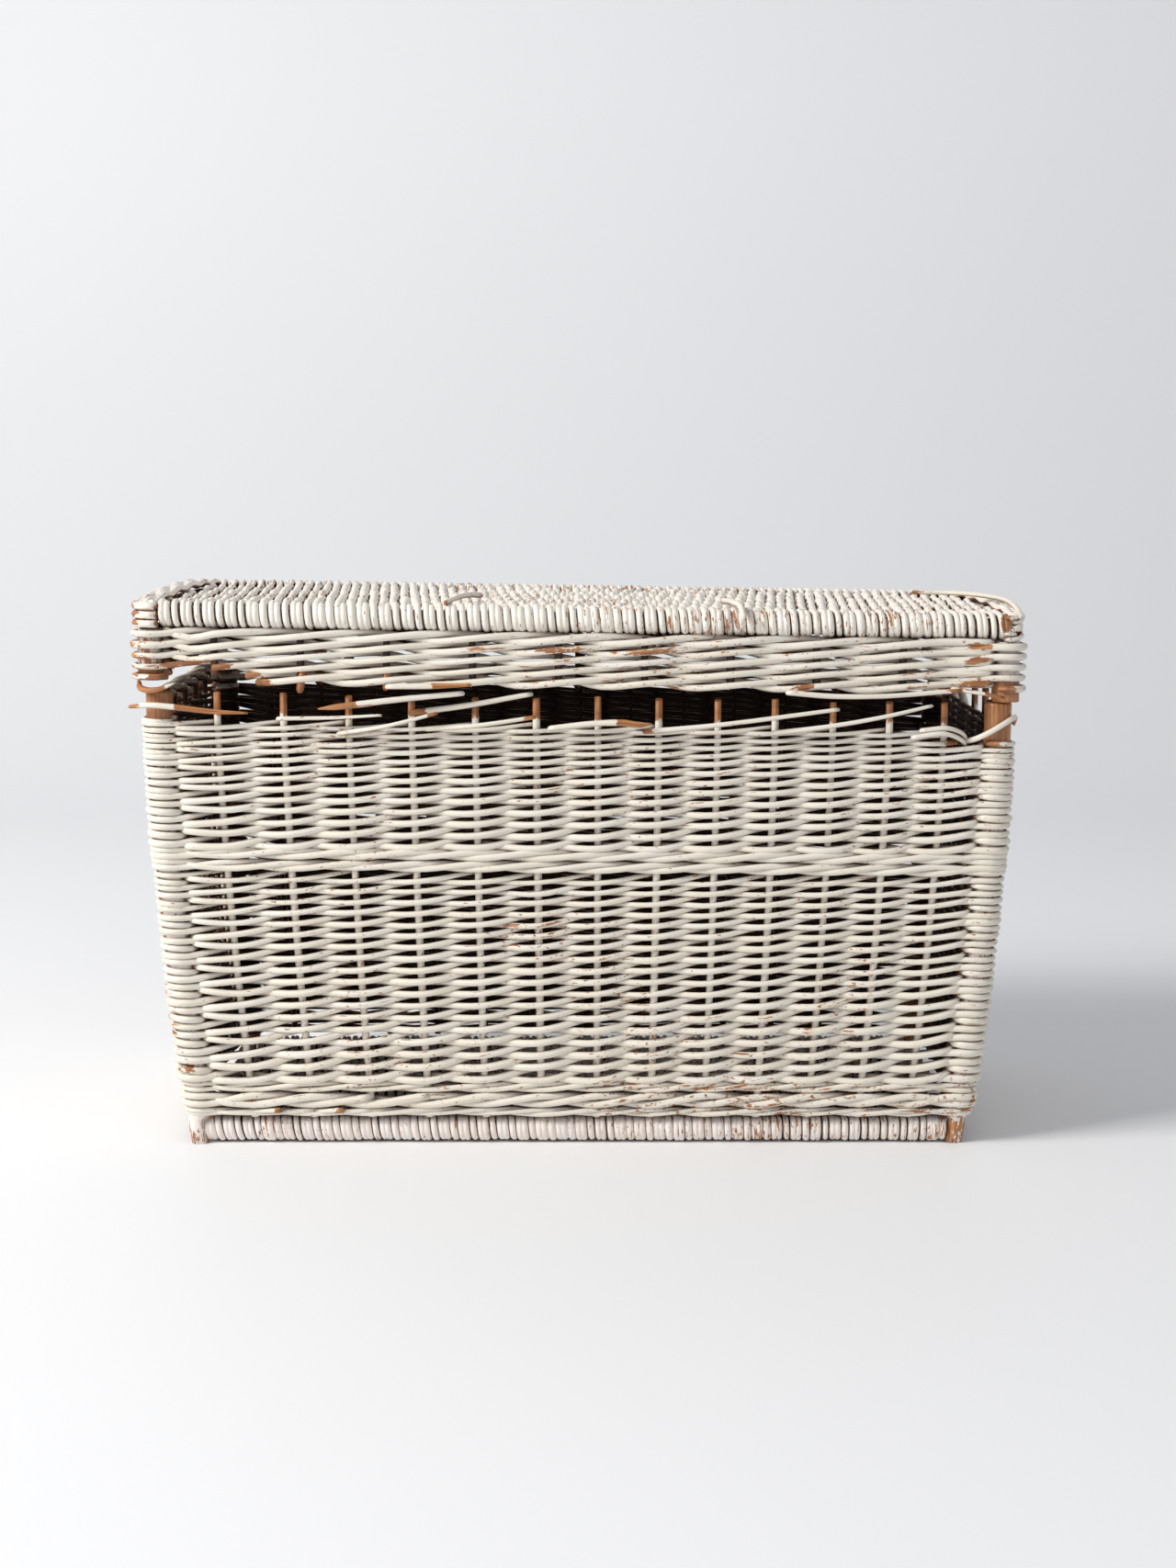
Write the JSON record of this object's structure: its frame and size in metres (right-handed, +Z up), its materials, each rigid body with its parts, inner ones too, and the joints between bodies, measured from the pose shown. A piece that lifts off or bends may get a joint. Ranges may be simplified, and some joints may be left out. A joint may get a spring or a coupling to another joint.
{
  "type": "laundry basket woven",
  "caption": "Rectangular willow laundry hamper with tapering woven walls, corner posts and a deep woven lid that swings up on willow loops along the back.",
  "frame": {"origin": "on the floor, under the middle of the object's box", "axes": "+X to the right along the length, -Y out of the front, +Z up"},
  "size_m": [0.643, 0.333, 0.408],
  "materials": {
    "painted_willow": "old cream paint, chipped to the brown rod, satin to matt",
    "worn_painted_willow": "thin cream paint, worn to the bark, matt",
    "bare_willow": "bare brown willow, satin"
  },
  "bodies": {
    "basket_body": {"base_weave": "worn_painted_willow", "base_stick_front": "bare_willow", "base_stick_1": "bare_willow", "base_stick_2": "bare_willow", "base_stick_3": "bare_willow", "base_stick_4": "bare_willow", "base_stick_5": "bare_willow", "base_stick_back": "bare_willow", "corner_post_front_left": "bare_willow", "corner_post_front_right": "bare_willow", "corner_post_back_left": "bare_willow", "corner_post_back_right": "bare_willow", "stake_front_1": "bare_willow", "stake_front_2": "bare_willow", "stake_front_3": "bare_willow", "stake_front_4": "bare_willow", "stake_front_5": "bare_willow", "stake_front_6": "bare_willow", "stake_front_7": "bare_willow", "stake_front_8": "bare_willow", "stake_front_9": "bare_willow", "stake_front_10": "bare_willow", "stake_front_11": "bare_willow", "stake_front_12": "bare_willow", "stake_front_13": "bare_willow", "stake_left_1": "bare_willow", "stake_left_2": "bare_willow", "stake_left_3": "bare_willow", "stake_left_4": "bare_willow", "stake_left_5": "bare_willow", "stake_right_1": "bare_willow", "stake_right_2": "bare_willow", "stake_right_3": "bare_willow", "stake_right_4": "bare_willow", "stake_right_5": "bare_willow", "bottom_wale": "painted_willow", "lower_siding": "painted_willow", "middle_wale": "painted_willow", "upper_siding": "painted_willow", "hinge_loop_left": "painted_willow", "hinge_loop_middle": "painted_willow", "hinge_loop_right": "painted_willow", "border": "painted_willow"},
    "lid": {"lid_weave": "painted_willow", "lid_stick_front": "bare_willow", "lid_stick_1": "bare_willow", "lid_stick_2": "bare_willow", "lid_stick_3": "bare_willow", "lid_stick_4": "bare_willow", "lid_stick_5": "bare_willow", "lid_stick_back": "bare_willow", "lid_post_front_left": "bare_willow", "lid_post_front_right": "bare_willow", "lid_post_back_left": "bare_willow", "lid_post_back_right": "bare_willow", "lid_wale": "painted_willow", "lid_hinge_rod": "painted_willow"}
  },
  "joints": [
    {"name": "lid_hinge", "type": "hinge", "parent": "basket_body", "child": "lid", "pos_m": [0, 0.1595, 0.348], "axis": [-0.9999, 0, 0.0133], "range_deg": [0, 110]}
  ]
}
